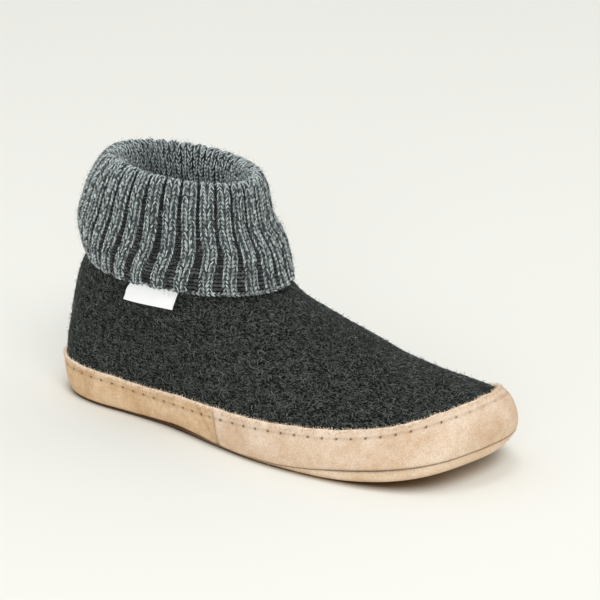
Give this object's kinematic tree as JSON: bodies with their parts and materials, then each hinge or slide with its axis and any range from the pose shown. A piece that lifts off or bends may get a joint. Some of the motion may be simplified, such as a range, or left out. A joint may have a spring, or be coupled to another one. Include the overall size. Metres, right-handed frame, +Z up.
{
  "type": "felt slipper boot",
  "caption": "Charcoal felt slipper boot for the right foot, with a tan suede rand and sole and a folded grey ribbed knit cuff.",
  "frame": {"origin": "on the floor under the middle of the part's box", "axes": "+X towards the toe, +Y towards the inner side of the foot, +Z up"},
  "size_m": [0.2698, 0.0998, 0.1367],
  "materials": {
    "felt": "matt",
    "suede": "matt",
    "knit": "matt",
    "woven_label": "matt"
  },
  "bodies": {
    "root": {"outsole": "suede", "insole": "felt", "upper": "felt", "rand_heel": "suede", "rand_front": "suede", "cuff": "knit", "label_tab": "woven_label"}
  },
  "joints": []
}
